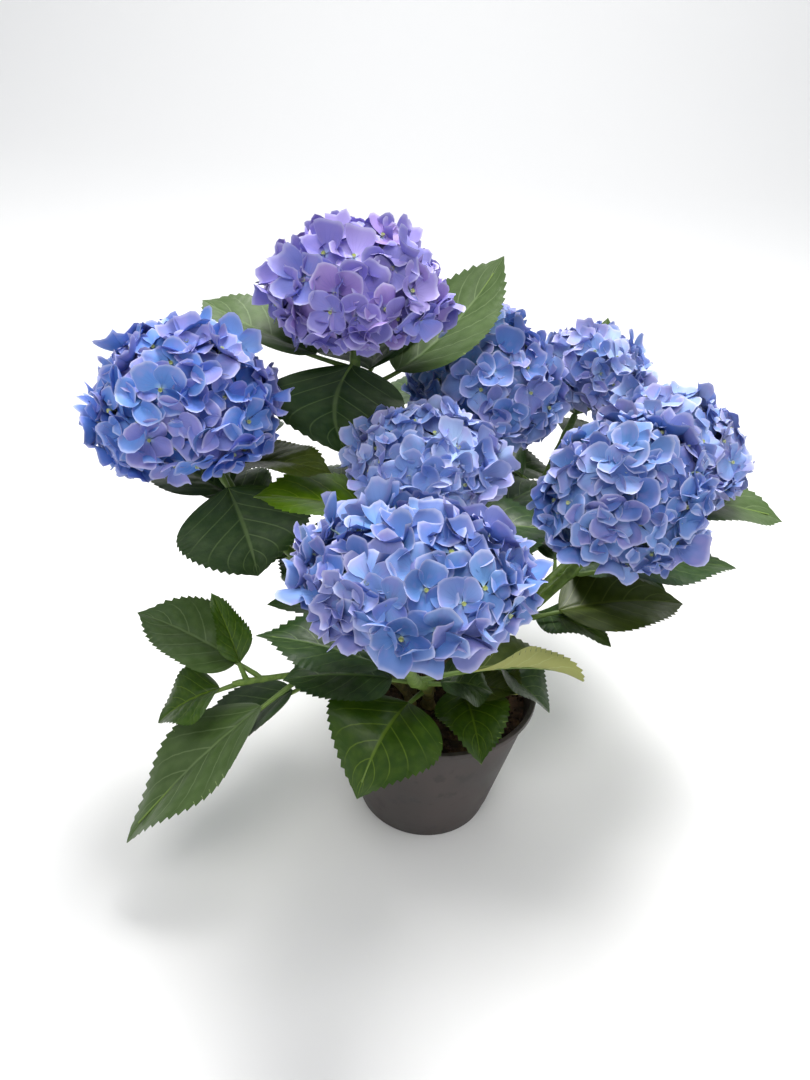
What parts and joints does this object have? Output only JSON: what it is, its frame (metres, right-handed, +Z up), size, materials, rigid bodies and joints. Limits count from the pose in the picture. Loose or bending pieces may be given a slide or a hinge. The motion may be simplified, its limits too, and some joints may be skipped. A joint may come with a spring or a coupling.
{
  "type": "potted hydrangea",
  "caption": "Mophead hydrangea in flower, growing from a plain tapered nursery pot, with large serrated leaves and a leafy side shoot.",
  "frame": {"origin": "middle of the pot's flat underside, where it stands on the floor", "axes": "+Z up the plant, -Y towards its front, +X to the viewer's right as the front is seen"},
  "size_m": [0.4599, 0.4804, 0.4017],
  "materials": {
    "pot": "matte",
    "compost": "matte",
    "stem": "satin",
    "blue_florets": "matte",
    "purple_florets": "matte",
    "leaf": "satin"
  },
  "bodies": {
    "root": {"pot": "pot", "compost": "compost", "flower_head_front": "blue_florets", "flower_head_middle": "blue_florets", "flower_head_purple": "purple_florets", "flower_head_left": "blue_florets", "flower_head_right_front": "blue_florets", "flower_head_right_back": "blue_florets", "flower_head_back_middle": "blue_florets", "flower_head_back_right": "blue_florets", "flower_head_far_back": "blue_florets", "stem_front": "stem", "stem_middle": "stem", "stem_purple": "stem", "stem_left": "stem", "stem_right_front": "stem", "stem_right_back": "stem", "stem_back_middle": "stem", "stem_back_right": "stem", "stem_far_back": "stem", "stem_side_shoot": "stem", "leaf_purple_left": "leaf", "leaf_purple_right": "leaf", "leaf_purple_front": "leaf", "leaf_left_below": "leaf", "leaf_left_inner": "leaf", "leaf_bright": "leaf", "leaf_front_left": "leaf", "leaf_front_lower": "leaf", "leaf_middle_left": "leaf", "leaf_shoot_top": "leaf", "leaf_shoot_upright": "leaf", "leaf_shoot_middle": "leaf", "leaf_shoot_long": "leaf", "leaf_shoot_inner": "leaf", "leaf_pot_front": "leaf", "leaf_pot_small": "leaf", "leaf_pot_middle": "leaf", "leaf_front_right": "leaf", "leaf_front_right_low": "leaf", "leaf_right_low": "leaf", "leaf_right_middle": "leaf", "leaf_right_far": "leaf", "leaf_back_right_up": "leaf", "leaf_inner_right": "leaf", "leaf_right_under": "leaf", "leaf_purple_back": "leaf", "leaf_left_back": "leaf", "leaf_left_outer": "leaf", "leaf_middle_back": "leaf", "leaf_back_middle_left": "leaf", "leaf_back_middle_right": "leaf", "leaf_far_back_left": "leaf", "leaf_far_back_right": "leaf", "leaf_far_back_out": "leaf", "leaf_back_right_out": "leaf", "leaf_right_back_out": "leaf", "leaf_low_back_left": "leaf", "leaf_low_back": "leaf"}
  },
  "joints": []
}
